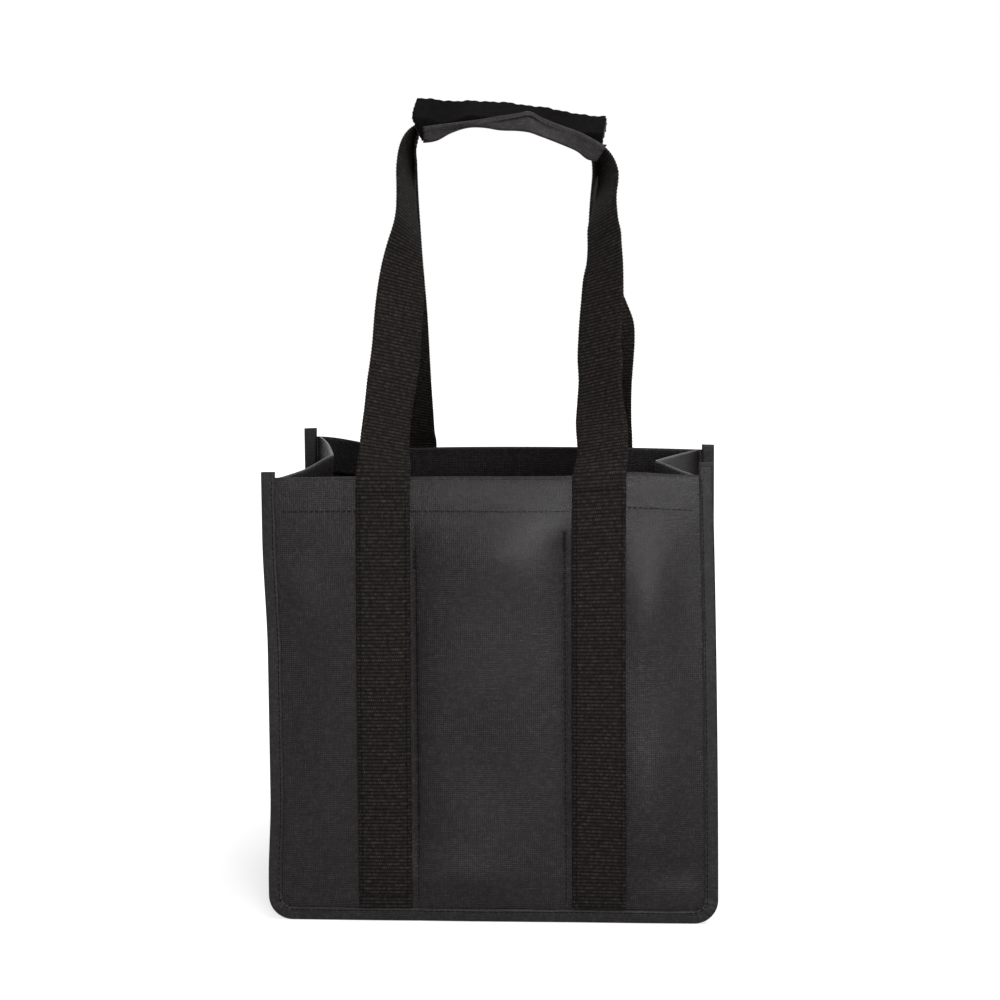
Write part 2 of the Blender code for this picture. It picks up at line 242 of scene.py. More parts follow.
def mesh_from(name, points, loops, starts, look):
    """A smooth mesh from its points, the corners of all faces in a row, and where each face starts in that row."""
    points = points.reshape(-1, 3)
    mesh = bpy.data.meshes.new(name)
    mesh.vertices.add(len(points))
    mesh.vertices.foreach_set("co", points.astype(np.float32).ravel())
    mesh.loops.add(len(loops))
    mesh.loops.foreach_set("vertex_index", loops.astype(np.int32))
    mesh.polygons.add(len(starts))
    mesh.polygons.foreach_set("loop_start", starts.astype(np.int32))
    mesh.update(calc_edges=True)
    mesh.polygons.foreach_set("use_smooth", np.ones(len(starts), bool))
    mesh.materials.append(look)
    return mesh


def cell_corners(grid):
    """The four corners of each cell of a grid."""
    return np.stack([grid[:-1, :-1], grid[:-1, 1:], grid[1:, 1:], grid[1:, :-1]], axis=2)


def grid_mesh(name, points, uv, look, keep=None, closed=False):
    """A mesh over a grid (rows, columns, 3). closed joins the last column to the first and caps both ends."""
    rows, columns = points.shape[:2]
    index = np.arange(rows * columns).reshape(rows, columns)
    quads = cell_corners(np.pad(index, ((0, 0), (0, 1)), mode="wrap") if closed else index)
    corners_uv = cell_corners(uv)
    if keep is not None:
        quads, corners_uv = quads[keep], corners_uv[keep]
    loops = quads.reshape(-1)
    loops_uv = corners_uv.reshape(-1, 2)
    starts = np.arange(0, len(loops), 4)
    if closed:
        loops = np.concatenate([loops, index[0, ::-1], index[-1]])
        loops_uv = np.concatenate([loops_uv, uv[0, -2::-1], uv[-1, :-1]])
        starts = np.append(starts, [starts[-1] + 4, starts[-1] + 4 + columns])
    used, loops = np.unique(loops, return_inverse=True)
    mesh = mesh_from(name, points.reshape(-1, 3)[used], loops, starts, look)
    mesh.uv_layers.new(name="Cloth metres").data.foreach_set("uv", loops_uv.astype(np.float32).ravel())
    return mesh


def place(mesh, body):
    """An object for a mesh whose points are already where they belong, riding on a body."""
    piece = bpy.data.objects.new(mesh.name, mesh)
    bpy.context.scene.collection.objects.link(piece)
    if body:
        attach(piece, body)
    return piece


def cloth_sheet(name, node, points, uv, look, thickness=cloth, body="bag", keep=None):
    """A sheet of cloth whose middle runs through the grid, in place of a solid."""
    piece = place(grid_mesh(name, points, uv, look, keep), body)
    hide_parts(node)
    wall = piece.modifiers.new("Cloth thickness", "SOLIDIFY")
    wall.thickness = thickness
    wall.offset = 0
    wall.use_even_offset = True
    return piece


print("mesh helpers ready")


# %% Helpers for paths and smooth curves
def lengths(path):
    """How far along a path each of its points lies."""
    steps = np.linalg.norm(np.diff(path, axis=0), axis=1)
    return np.concatenate([[0], np.cumsum(steps)])


def read(path, far, at):
    """The path's columns at some distances, where far gives the distance of each of its points."""
    return np.stack([np.interp(at, far, column) for column in path.T], axis=1)


def resampled(path, count):
    """The same path with a fixed number of points, evenly spread."""
    far = lengths(path)
    return read(path, far, np.linspace(0, far[-1], count))


def rounded(corners, radius, steps):
    """A path through corners in a plane, each inner corner turned into an arc of the radius given.

    An arc starts where the tangent's length, radius times tan(turn / 2), is left to the corner.
    """
    corners = np.array(corners, float)
    path = [corners[:1]]
    for before, corner, after in zip(corners, corners[1:], corners[2:]):
        arriving = (corner - before) / np.linalg.norm(corner - before)
        leaving = (after - corner) / np.linalg.norm(after - corner)
        turn = math.acos(np.clip(arriving @ leaving, -1, 1))
        if turn < 0.03:
            path.append(corner[None])
            continue
        start = corner - arriving * radius * math.tan(turn / 2)
        inward = leaving - arriving * (arriving @ leaving)
        centre = start + radius * inward / np.linalg.norm(inward)
        angle = np.linspace(0, turn, steps + 1)[:, None]
        path.append(centre + (start - centre) * np.cos(angle) + arriving * radius * np.sin(angle))
    path = np.concatenate(path)
    moved = ~np.isclose(path[1:], path[:-1]).all(axis=1)
    return np.concatenate([path[:1], path[1:][moved], corners[-1:]])


def divided(path, step):
    """A path with more points, so that none of its pieces is longer than the step."""
    far = lengths(path)
    at = [np.linspace(a, b, max(2, math.ceil((b - a) / step) + 1))[:-1] for a, b in zip(far, far[1:])]
    at = np.append(np.concatenate(at), far[-1])
    return read(path, far, at)


def smooth(stations, at):
    """Values read on a smooth curve through stations (place, value, value...)."""
    stations = np.array(stations, float)
    share, values = stations[:, 0], stations[:, 1:]
    slope = np.gradient(values, share, axis=0)
    at = np.clip(at, share[0], share[-1])
    k = np.clip(np.searchsorted(share, at, side="right") - 1, 0, len(share) - 2)
    span = share[k + 1] - share[k]
    t = ((at - share[k]) / span)[:, None]
    rise = values[k + 1] - values[k]
    a = slope[k] * span[:, None] - rise
    b = rise - slope[k + 1] * span[:, None]
    return values[k] + rise * t + t * (1 - t) * (a * (1 - t) + b * t)


def step_up(value, low, high):
    """0 below low, 1 above high, with a smooth rise between."""
    t = np.clip((value - low) / (high - low), 0, 1)
    return t * t * (3 - 2 * t)


print("a smooth step half way:", step_up(0.5, 0, 1))

# %% [markdown]
# ## How the standing bag settles
# A sewn bag never stands as drawn: its corners rise by different amounts, its panels belly out a little and
# ripple, and each seam of a divider pulls a shallow valley. A cloth simulation could find such folds, but not
# the ones in the photograph. So one warp, written in millimetres, moves everything that belongs to the bag,
# which also keeps its layers in order.


# %% The warp that all pieces of the bag share
# Soft hollows and swellings of the panels, in mm: X, height, half width, half height and how far out
dents = ((18, 204, 30, 28, 2.7), (88, 176, 16, 26, 2.2), (86, 66, 18, 34, 2.8), (104, 30, 20, 10, -2.0),
         (-110, 186, 14, 17, 2.4), (-4, 84, 22, 34, -2.6), (-20, 24, 26, 14, 2.4), (-98, 96, 14, 46, 1.2))


def settle(points):
    """Points of the straight bag, moved to where the photographed one holds them.

    u, v and h run from side to side, from front to back and from the floor to the mouth. Each part below is a
    distance times how much of it is felt there: at the front or the back, on the left or the right, high up,
    off the floor, or on a panel's open cloth, which its edges hold still.
    """
    x, y, z = points[..., 0], points[..., 1], points[..., 2]
    u, v, h = x / (bag_width / 2), y / face_y, z / panel_height
    front, back = np.clip((1 - v) / 2, 0, 1), np.clip((1 + v) / 2, 0, 1)
    left, right = step_up(-u, 0.5, 0.95), step_up(u, 0.5, 0.95)
    between_panels = np.clip(1 - v**2, 0, 1)
    high = np.clip(h, 0, 1.05) ** 2
    off_floor = step_up(z, 12 * mm, 70 * mm)
    open_cloth = np.clip(1 - u**6, 0, 1)
    still_there = 1 - step_up(z, panel_height, panel_height + 50 * mm)

    # The mouth's edge rises in front, most of all beside the right strap, and at the back left corner
    beside_strap = np.exp(-(((x - 76 * mm) / (24 * mm)) ** 2))
    lift = front * (2.6 * mm + 2.3 * mm * beside_strap + 0.6 * mm * (right - left))
    lift = lift + back * (8.3 * mm * left * np.sqrt(back) + 2 * mm * np.clip(1 - u**2, 0, 1))
    lift = lift + 4.5 * mm * left * between_panels * step_up(v, -0.6, 0.15) * step_up(h, 0.6, 1)
    lean = -3.6 * mm * front * right * high
    drawn_in = 1.9 * mm * left * step_up(z, 20 * mm, 70 * mm) * (1 - step_up(z, 150 * mm, 215 * mm))

    # A panel swells over each cell where the dividers hold it, and as a whole above them
    seam = middle_cell / 2
    middle_share = np.clip((x + seam) / middle_cell, 0, 1) ** 0.74
    side_share = np.clip((np.abs(x) - seam) / (side_x - seam), 0, 1) ** np.where(x > 0, 1.35, 0.6)
    round_cell = np.where(np.abs(x) < seam, 4.4 * mm * np.sin(np.pi * middle_share),
                          3.4 * mm * np.sin(np.pi * side_share))
    held = 1 - step_up(z, divider_top - 12 * mm, divider_top + 16 * mm)
    belly = 3.2 * mm * (1 - held) + (0.8 * mm + round_cell) * held
    belly = belly * open_cloth * np.sin(np.pi * np.clip(h, 0, 1)) ** 0.5

    # The dividers' seams pull a valley, sharp at the thread and soft beside it
    beside = np.abs(np.abs(x) - seam)
    pull = 0.55 * np.exp(-beside / (1.1 * mm)) + 0.45 * np.exp(-((beside / (7 * mm)) ** 2))
    valley = -1.5 * mm * pull * off_floor * (1 - step_up(z, divider_top - 6 * mm, divider_top + 6 * mm))

    # Ripples and single dents
    ripple = 0.55 * mm * np.sin(x / (19 * mm) + 1.3 + 2.2 * h) * np.sin(2.2 * np.pi * h + 0.6)
    ripple = ripple + 0.45 * mm * np.sin(x / (33 * mm) - z / (41 * mm) + 0.4)
    ripple = ripple * np.clip(1 - u**4, 0, 1) * off_floor
    dent = sum(
        depth * mm * np.exp(-((x / mm - at_x) / wide) ** 2 - ((z / mm - at_z) / tall) ** 2)
        for at_x, at_z, wide, tall, depth in dents
    ) * step_up(z, 8 * mm, 26 * mm) * open_cloth
    bulge = (belly + ripple + valley + dent) * v * np.abs(v) * still_there

    # Waves of the divider in the middle, and of both sides
    middle = 1.5 * mm * np.sin(x / (27 * mm) + 0.9) * off_floor * np.clip(1 - np.abs(v), 0, 1) ** 2
    side = 0.9 * mm * np.sin(y / (17 * mm) + 0.5 + 1.5 * h) * np.sin(2.6 * np.pi * h) * off_floor
    side = side * u * np.abs(u) * between_panels * step_up(np.abs(u), 0.5, 0.9)
    return points + stacked(lean * still_there + side + drawn_in, bulge + middle, lift * high * still_there)


def crease(height, y, depth):
    """How far a side is folded in: a fold along its middle that fades out downwards, rounded at its tip."""
    climb = step_up(height, crease_fade, panel_height)
    tip = 2 * mm
    reach = np.hypot(flange_y, tip) - tip
    tent = np.clip(1 - (np.hypot(y, tip) - tip) / reach, 0, 1)
    return depth * climb * tent


print("panel moves at its middle by", settle(np.array([0, -face_y, panel_height / 2])).round(5))

# %% [markdown]
# ## Finishes
# Spunbond nonwoven is polypropylene fibre, laid as a web and welded by a hot roller with small dashes. The
# welds are tiny shiny dents, and the fibre between them is dull. The webbing is woven from flat polypropylene
# yarn; where a yarn turns over, a brown glint is painted into its colour, and painted shade darkens the rib
# valleys. A photographed cloth could be laid on as an image, but nodes stay sharp from close by, and their
# sizes can be given in millimetres.


# %% Nonwoven and binding
def nonwoven(name, hex_colour, roughness, cell, emboss):
    """Spunbond polypropylene: welded dashes laid as a basket, one to a cell, over a faint cloudy web.

    A weld is a smooth step across its length times one across its width, and a checker says which way it lies.
    Its colour is the cloth's, times one factor for each of bundles, which are partly painted sparkle, web, clouds and
    welds.
    """
    look, tree, shader = new_material(name, hex_colour, roughness, 0.22)
    place = add_node(tree, "UVMap", uv_map="Cloth metres")
    cells = add_node(tree, "VectorMath", {0: place, 1: (1 / cell, 1 / cell, 0)}, operation="MULTIPLY")
    inside = add_node(tree, "VectorMath", {0: cells}, operation="FRACTION")
    inside = add_node(tree, "SeparateXYZ", {0: inside}).outputs
    away = [add_node(tree, "Math", {0: inside[k], 1: 0.5}, operation="SUBTRACT") for k in (0, 1)]
    away = [add_node(tree, "Math", {0: distance}, operation="ABSOLUTE") for distance in away]
    basket = add_node(tree, "TexChecker", {
        "Vector": cells, "Scale": 1, "Color1": (0, 0, 0, 1), "Color2": (1, 1, 1, 1)}).outputs["Fac"]
    long_way, short_way = (
        add_node(tree, "Mix", {"Factor": basket, "A": one, "B": other}) for one, other in (away, away[::-1]))
    weld_long, weld_short = (
        add_node(tree, "MapRange", {"Value": way, "From Min": edge, "From Max": full}, interpolation_type="SMOOTHSTEP")
        for way, edge, full in ((long_way, 0.46, 0.34), (short_way, 0.3, 0.14))
    )
    weld = add_node(tree, "Math", {0: weld_long, 1: weld_short}, operation="MULTIPLY")

    # The web's thin and thick places are some 6 mm across, its clouds 36 mm, and a fibre crimps every 0.7 mm
    web, clouds, fibre = (
        add_node(tree, "TexNoise", {"Vector": place, "Scale": per_metre, "Detail": detail, "Roughness": rough})
        for per_metre, detail, rough in ((160, 5, 0.62), (28, 2, 0.5), (1500, 3, 0.7))
    )
    # Bundles of fibre lie both ways and stand out paler, partly as real grain and partly as painted sparkle. They are
    # drawn coarse enough to show, 4 mm by 1 mm
    bundle_sparkle_noises = [
        add_node(tree, "TexNoise", {
            "Vector": add_node(tree, "VectorMath", {0: place, 1: per_metre}, operation="MULTIPLY"),
            "Scale": 1, "Detail": 1, "Roughness": 0.6})
        for per_metre in ((260, 1000, 0), (1000, 260, 0))
    ]
    bundle_and_sparkle = add_node(tree, "Math", {0: bundle_sparkle_noises[0], 1: bundle_sparkle_noises[1]}, operation="MAXIMUM")
    bundle_and_sparkle = add_node(tree, "MapRange", {"Value": bundle_and_sparkle, "From Min": 0.5, "From Max": 0.74})
    shade = 1
    # Factors for the colour: paler bundles, partly painted sparkle, then the web, the clouds and the dark welds
    for layer, low, high, at_low, at_high in (
        (bundle_and_sparkle, 0, 1, 0.8, 2.2), (web, 0.3, 0.7, 0.74, 1.28), (clouds, 0.3, 0.7, 0.9, 1.1), (weld, 0, 1, 1.2, 0.55),
    ):
        layer = add_node(tree, "MapRange", {
            "Value": layer, "From Min": low, "From Max": high, "To Min": at_low, "To Max": at_high})
        shade = add_node(tree, "Math", {0: shade, 1: layer}, operation="MULTIPLY")
    colour = add_node(tree, "VectorMath", {0: linear(hex_colour)[:3], "Scale": shade}, operation="SCALE")
    gloss = add_node(tree, "MapRange", {"Value": weld, "To Min": roughness, "To Max": roughness - 0.15})
    height = add_node(tree, "Math", {0: fibre, 1: 0.55}, operation="MULTIPLY")
    height = add_node(tree, "Math", {0: height, 1: weld}, operation="SUBTRACT")
    height = add_node(tree, "Math", {0: bundle_and_sparkle, 1: 0.35, 2: height}, operation="MULTIPLY_ADD")
    relief = add_node(tree, "Bump", {"Height": height, "Strength": emboss, "Distance": 0.16 * mm})
    fill(tree, shader, {"Base Color": colour, "Roughness": gloss, "Normal": relief})
    return look


# The panels' cloth has a soft glow with fine grey flecks, which are partly painted sparkle, the binding is duller, and
# the wrap's is smooth
panel_cloth = nonwoven("Spunbond polypropylene nonwoven", "1b1819", 0.36, 1.1 * mm, 0.9)
binding_cloth = nonwoven("Nonwoven binding tape", "1b1919", 0.5, 1.1 * mm, 0.6)
wrap_cloth = nonwoven("Smooth nonwoven of the wrap", "231f20", 0.5, 0.7 * mm, 0.3)
print("cloth finishes:", panel_cloth.name, "/", binding_cloth.name, "/", wrap_cloth.name)


# %% Webbing
def woven_webbing(name, hex_colour, painted_glint_hex, rib, yarn):
    """Ribbed webbing: yarns run along the strap over each rib, and their knuckles get a painted glint as short dashes.

    A rib's crest is half a sine wave along the strap, a yarn's width a full cosine wave across it, shifted by
    half a yarn from rib to rib. Their product is the knuckle. White noise picks the knuckles that get a painted
    brown glint in their colour, and painted shade darkens the colour between the ribs.
    """
    look, tree, shader = new_material(name, hex_colour, 0.65, 0.06)
    place = add_node(tree, "UVMap", uv_map="Cloth metres")
    across, along = add_node(tree, "SeparateXYZ", {0: place}).outputs[:2]
    row = add_node(tree, "Math", {0: along, 1: rib}, operation="DIVIDE")
    row_number = add_node(tree, "Math", {0: row}, operation="FLOOR")
    row_part = add_node(tree, "Math", {0: row}, operation="FRACT")
    column = add_node(tree, "Math", {0: across, 1: yarn}, operation="DIVIDE")
    column = add_node(tree, "Math", {0: row_number, 1: 0.5, 2: column}, operation="MULTIPLY_ADD")
    column_number = add_node(tree, "Math", {0: column}, operation="FLOOR")
    wave = add_node(tree, "Math", {0: column, 1: math.tau}, operation="MULTIPLY")
    wave = add_node(tree, "Math", {0: wave}, operation="COSINE")
    crest = add_node(tree, "Math", {0: row_part, 1: math.pi}, operation="MULTIPLY")
    crest = add_node(tree, "Math", {0: crest}, operation="SINE")
    knuckle = add_node(tree, "MapRange", {"Value": wave, "From Min": -1})
    knuckle = add_node(tree, "Math", {0: knuckle, 1: crest}, operation="MULTIPLY")
    cell = add_node(tree, "CombineXYZ", {0: column_number, 1: row_number})
    chance = add_node(tree, "TexWhiteNoise", {"Vector": cell}, noise_dimensions="3D")
    # Painted highlight: the chosen knuckles get a brown glint mixed into the yarn's colour
    painted_glint = add_node(tree, "MapRange", {"Value": chance, "From Min": 0.45})
    painted_glint = add_node(tree, "Math", {0: painted_glint, 1: knuckle}, operation="MULTIPLY")
    colour = add_node(tree, "Mix", {
        "Factor": painted_glint, "A": linear(hex_colour), "B": linear(painted_glint_hex)}, data_type="RGBA").outputs[2]
    # Painted shade and highlight: the colour darkens in the valleys between ribs and brightens on their crests
    shade = add_node(tree, "MapRange", {"Value": crest, "To Min": 0.1, "To Max": 1.3})
    worn = add_node(tree, "TexNoise", {"Vector": place, "Scale": 420, "Detail": 3, "Roughness": 0.7})
    worn = add_node(tree, "MapRange", {"Value": worn, "From Min": 0.3, "From Max": 0.7, "To Min": 0.4, "To Max": 1.6})
    shade = add_node(tree, "Math", {0: shade, 1: worn}, operation="MULTIPLY")
    colour = add_node(tree, "VectorMath", {0: colour, "Scale": shade}, operation="SCALE")
    relief = add_node(tree, "Bump", {"Height": knuckle, "Strength": 0.7, "Distance": 0.3 * mm})
    fill(tree, shader, {"Base Color": colour, "Normal": relief})
    return look


# Flat yarn that is dull on its face, with a painted brown glint on its knuckles and painted shade between its ribs
rib = 2 * mm
webbing_look = woven_webbing("Ribbed polypropylene webbing", "1d1b1a", "38312d", rib, 1.1 * mm)
print("webbing finish:", webbing_look.name)


# %% Tapes, thread and board
def fuzzy_tape(name, hex_colour, grain):
    """Hook or loop tape: a very dark matt pile, mottled where its loops lie different ways."""
    look, tree, shader = new_material(name, hex_colour, 0.95, 0.04)
    place = add_node(tree, "UVMap", uv_map="Cloth metres")
    pile = add_node(tree, "TexNoise", {"Vector": place, "Scale": 1 / grain, "Detail": 3, "Roughness": 0.7})
    drift = add_node(tree, "TexNoise", {"Vector": place, "Scale": 0.12 / grain, "Detail": 2})
    shade = add_node(tree, "Math", {0: pile, 1: drift}, operation="MULTIPLY")
    shade = add_node(tree, "MapRange", {
        "Value": shade, "From Min": 0.12, "From Max": 0.4, "To Min": 0.5, "To Max": 1.7})
    colour = add_node(tree, "VectorMath", {0: linear(hex_colour)[:3], "Scale": shade}, operation="SCALE")
    relief = add_node(tree, "Bump", {"Height": pile, "Strength": 0.8, "Distance": 0.3 * mm})
    fill(tree, shader, {"Base Color": colour, "Normal": relief})
    return look


def grained(name, hex_colour, roughness, specular, per_metre, detail, strength, depth):
    """A plain finish with a fine relief of noise."""
    look, tree, shader = new_material(name, hex_colour, roughness, specular)
    place = add_node(tree, "TexCoord").outputs["Object"]
    grain = add_node(tree, "TexNoise", {"Vector": place, "Scale": per_metre, "Detail": detail})
    relief = add_node(tree, "Bump", {"Height": grain, "Strength": strength, "Distance": depth})
    fill(tree, shader, {"Normal": relief})
    return look


# Tape with a pile as matt as felt, its loops 0.6 mm wide and its hooks 0.9 mm apart
loop_look = fuzzy_tape("Nylon loop tape", "0b0b0b", 0.6 * mm)
hook_look = fuzzy_tape("Nylon hook tape", "0f0f0f", 0.9 * mm)
# Twisted thread without any shine, its twist a millimetre long, and a board with the grain of extruded sheet
thread_look = grained("Black polyester thread", "0e0d0d", 0.6, 0.05, 900, 1, 0.5, 0.1 * mm)
board_look = grained("Extruded polypropylene board", "3a3a3a", 0.5, 0.5, 600, 3, 0.3, 0.2 * mm)
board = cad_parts["base_board"]
board.data.materials.clear()
board.data.materials.append(board_look)
print("finishes:", loop_look.name, "/", hook_look.name, "/", thread_look.name, "/", board_look.name)

# %% [markdown]
# ## Front and back panels
# Each panel is one piece of cloth with round bottom corners. Its top is folded in and stitched, which makes
# the hem. The inside of the hem stops short of the side seams, where the gusset's own edge lies. A plane with a
# second strip behind it could pass for this, but one grid that folds over has the real round edge at the top.


# %% Panels
def hem(step):
    """A hem's section from its lower edge inside, over the fold, to the sheet's face: (inward, height)."""
    inside = cloth + gap
    top = panel_height - cloth / 2
    corners = [(inside, panel_height - hem_height), (inside, top), (0, top), (0, panel_height - hem_height)]
    return divided(rounded(corners, inside / 2, 4), step)


def panel(row):
    """A panel: rows rise from the bottom corners' arcs up the face and over the hem's fold."""
    step = 2 * mm
    turn = np.linspace(0, math.pi / 2, 9)
    radius = corner_radius - edge_z
    inward, hem_z = hem(step)[::-1].T
    rise = np.arange(corner_radius + step, hem_z[0] - step / 2, step)
    half = np.concatenate([edge_x - radius * (1 - np.sin(turn)), np.full(len(rise) + len(hem_z), edge_x)])
    z = np.concatenate([edge_z + radius * (1 - np.cos(turn)), rise, hem_z])
    inward = np.concatenate([np.zeros(len(turn) + len(rise)), inward])
    seam = np.array([-3, -2, -1.2, -0.6, 0, 0.6, 1.2, 2, 3]) * mm
    middle = np.linspace(-hem_half, hem_half, round(2 * hem_half / step))
    middle = middle[np.abs(np.abs(middle) - middle_cell / 2) > 3.6 * mm]
    middle = np.sort(np.concatenate([middle, seam - middle_cell / 2, seam + middle_cell / 2]))
    fin = np.linspace(hem_half, edge_x, 5)[1:]
    across = np.concatenate([-fin[::-1], middle, fin]) / edge_x
    points = stacked(half[:, None] * across, row_sides[row] * (panel_y - inward[:, None]), z[:, None])
    up = lengths(stacked(inward, z))
    uv = stacked(points[..., 0], up[:, None])
    keep = np.ones((len(z) - 1, len(across) - 1), bool)
    past_fold = np.argmax(inward > (cloth + gap) / 2)
    keep[past_fold:, :len(fin)] = False
    keep[past_fold:, -len(fin):] = False
    piece = cloth_sheet(f"{row}_panel_cloth", f"{row}_panel", settle(points), uv, panel_cloth, keep=keep)
    return piece


panels = [panel(row) for row in row_sides]
print("panel faces:", [len(piece.data.polygons) for piece in panels])

# %% [markdown]
# ## Gusset
# One long strip makes a side, the bottom and the other side. Its long edges turn out into the seams, and the
# sides are folded in along their middle, deeper towards the top, as the bag was folded flat in its packing.
# Three walls could make it, but one section carried along the seam turns both bottom corners as cloth does.


# %% Gusset
def seam_path(heights, corner_steps=8, bottom_step=4 * mm):
    """Stations down the left side, round the bottom and up the right: X, Z and the outward direction."""
    down = heights[:0:-1]
    angle = np.linspace(0, math.pi / 2, corner_steps + 1)
    flat = side_x - inner_radius
    along = np.linspace(flat, 0, round(flat / bottom_step))[1:]
    x = np.concatenate([np.full(len(down), side_x), side_x - inner_radius * (1 - np.cos(angle)), along])
    z = np.concatenate([down, floor_z + inner_radius * (1 - np.sin(angle)), np.full(len(along), floor_z)])
    out_x = np.concatenate([np.ones(len(down)), np.cos(angle), np.zeros(len(along))])
    out_z = np.concatenate([np.zeros(len(down)), -np.sin(angle), -np.ones(len(along))])
    back = slice(-2, None, -1)
    return tuple(
        np.concatenate([sign * values, values[back]])
        for sign, values in ((-1, x), (1, z), (-1, out_x), (1, out_z))
    )


def gusset():
    """The strip: a section across the bag's depth, carried down one side, along the bottom and up the other."""
    step = 2.5 * mm
    side_heights = np.arange(floor_z + inner_radius, panel_height - hem_height - step / 2, step)
    x, z, out_x, out_z = seam_path(side_heights)
    inward, hem_z = hem(step).T
    hems = len(hem_z)
    x, out_x = (np.pad(values, hems, mode="edge") for values in (x, out_x))
    out_z = np.pad(out_z, hems)
    z = np.concatenate([hem_z, z, hem_z[::-1]])
    inward = np.concatenate([inward, np.zeros(len(z) - 2 * hems), inward[::-1]])
    fin = edge_x - side_x
    corners = [(fin, -flange_y), (0, -flange_y), (0, flange_y), (fin, flange_y)]
    section = divided(rounded(corners, fold_radius, 4), step)
    out, y = section.T
    across = lengths(section)
    down = lengths(stacked(x - out_x * inward, z))
    x, z, out_x, out_z, inward = (column[:, None] for column in (x, z, out_x, out_z, inward))
    depth = np.where(x < 0, *crease_depths.values())
    shape = out - inward - np.abs(out_x) * crease(z, y, depth)
    points = stacked(x + out_x * shape, y, z + out_z * shape)
    flanges = np.abs(y[:-1] + y[1:]) / 2 > flange_y - fold_radius
    folded_in = np.maximum(inward[:-1], inward[1:]) > (cloth + gap) / 2
    uv = stacked(across, down[:, None])
    keep = ~(folded_in & flanges)
    piece = cloth_sheet("gusset_cloth", "gusset_strip", settle(points), uv, panel_cloth, keep=keep)
    print("gusset strip, flat, metres:", round(float(across[-1]), 3), "x", round(float(down[-1]), 3))
    return piece


side_cloth = gusset()

# %% [markdown]
# ## Dividers
# Inside, one divider runs the long way between the two creases, and four short ones make the cells. Each has
# a turned flange at both ends, which is stitched to what carries it. Plain planes would end bare in the
# panels, so each is a path with turned ends, carried upwards.


# %% Dividers
divider_step = 2.5 * mm
divider_heights = np.linspace(divider_bottom, divider_top, round((divider_top - divider_bottom) / divider_step))


def hang_divider(node, points, uv):
    """Makes a divider's cloth from the straight grid."""
    piece = cloth_sheet(f"{node}_cloth", node, settle(points), uv, panel_cloth)
    return piece


def long_divider():
    """A wall from crease to crease: at each height it reaches as far as the folded sides leave room."""
    flange = np.array([0, sewing_flange])
    rows = []
    for height in divider_heights:
        (left, left_tip), (right, right_tip) = (
            hand_sides[hand] * (side_x - cloth - gap - crease(height, flange, depth))
            for hand, depth in crease_depths.items())
        corners = [(left_tip, sewing_flange), (left, 0), (right, 0), (right_tip, -sewing_flange)]
        rows.append(resampled(rounded(corners, fold_radius, 4), round(2 * side_x / divider_step)))
    rows = np.array(rows)
    points = stacked(rows[..., 0], rows[..., 1], divider_heights[:, None])
    return hang_divider("long_divider", points, points[..., [0, 2]])


def cross_divider(row, hand):
    """A wall between a panel and the long divider, with a flange turned outwards at each."""
    side, out = row_sides[row], hand_sides[hand]
    x = out * middle_cell / 2
    tip = x + out * sewing_flange
    corners = [(tip, side * flange_y), (x, side * flange_y), (x, side * (cloth + gap)), (tip, side * (cloth + gap))]
    path = divided(rounded(corners, fold_radius, 4), divider_step)
    across, y, z = lengths(path), path[:, 1], divider_heights[:, None]
    loose = np.sin(np.pi * np.clip(np.abs(y) / flange_y, 0, 1))
    sway = 2.2 * mm * out * side * loose**2 * np.sin(z / (45 * mm) + y / (30 * mm))
    points = stacked(path[:, 0] + sway * step_up(z, divider_bottom, 60 * mm), y, z)
    return hang_divider(f"{row}_{hand}_divider", points, stacked(across, z))


walls = [long_divider()] + [cross_divider(row, hand) for row in row_sides for hand in hand_sides]
print("dividers:", [wall.name for wall in walls])

# %% [markdown]
# ## Binding
# The raw edges of both seams are wrapped in a folded tape. It starts as a stiff post at the top corner, runs
# down, gathers into small pleats round the bottom corner, and its lower run is what the bag stands on. A tube
# along a curve would be round and closed. A folded section carried along the seam keeps its two flat faces.


# %% Binding tape
def binding(row, post_rises):
    """A folded section carried round the seam. Each end stands up by its own rise, left then right."""
    step = 2 * mm
    heights = np.arange(floor_z + inner_radius, panel_height + step / 2, step)
    heights[-1] = panel_height
    x, z, out_x, out_z = seam_path(heights, 16, step)
    z = z + np.where(x < 0, *post_rises) * step_up(z, panel_height - 12 * mm, panel_height)
    reach = bag_width / 2 - tape / 2 - side_x
    root = cloth / 2 + gap + fold_radius
    corners = [(root, outer_tape_y), (reach, outer_tape_y), (reach, inner_tape_y), (root, inner_tape_y)]
    section = divided(rounded(corners, 0.8 * mm, 4), 1.3 * mm)
    out, y = section.T
    far, x, z, out_x, out_z = (column[:, None] for column in (lengths(stacked(x, z)), x, z, out_x, out_z))
    free = np.clip((reach - out) / (reach - root), 0, 1)
    round_corner = np.clip(4 * np.abs(out_x * out_z), 0, 1)
    pleat = 0.5 * mm * np.sin(11 * np.arctan2(-out_z, np.abs(out_x))) * round_corner * free
    waver = 0.22 * mm * np.sin(far / (7 * mm)) * np.sin(far / (23 * mm) + 1) * free
    puff = np.sign(y - (outer_tape_y + inner_tape_y) / 2) * np.clip(pleat + np.abs(waver), 0, None)
    out = out + waver
    points = stacked(x + out_x * out, row_sides[row] * (y + puff), z + out_z * out)
    across = lengths(section)
    uv = stacked(across, far)
    piece = cloth_sheet(f"{row}_binding_tape", f"{row}_binding", settle(points), uv, binding_cloth, tape)
    return piece


bindings = [binding("front", (3 * mm, 6.8 * mm)), binding("back", (5 * mm, 3 * mm))]
print("binding faces:", [len(piece.data.polygons) for piece in bindings])

# %% [markdown]
# ## Straps
# Each strap is one length of webbing: sewn up the panel, free above its edge, flat along the grip, and down
# again on the other side. It twists a quarter turn on its way to the grip, so its edge faces the hand there.
# A curve with a flat bevel could make it, but its twist is hard to steer. Here a flat section is carried along
# a path that says at each place how far it is turned. The photograph gives the two edges of each leg, and the
# turn follows from how narrow the strap looks.


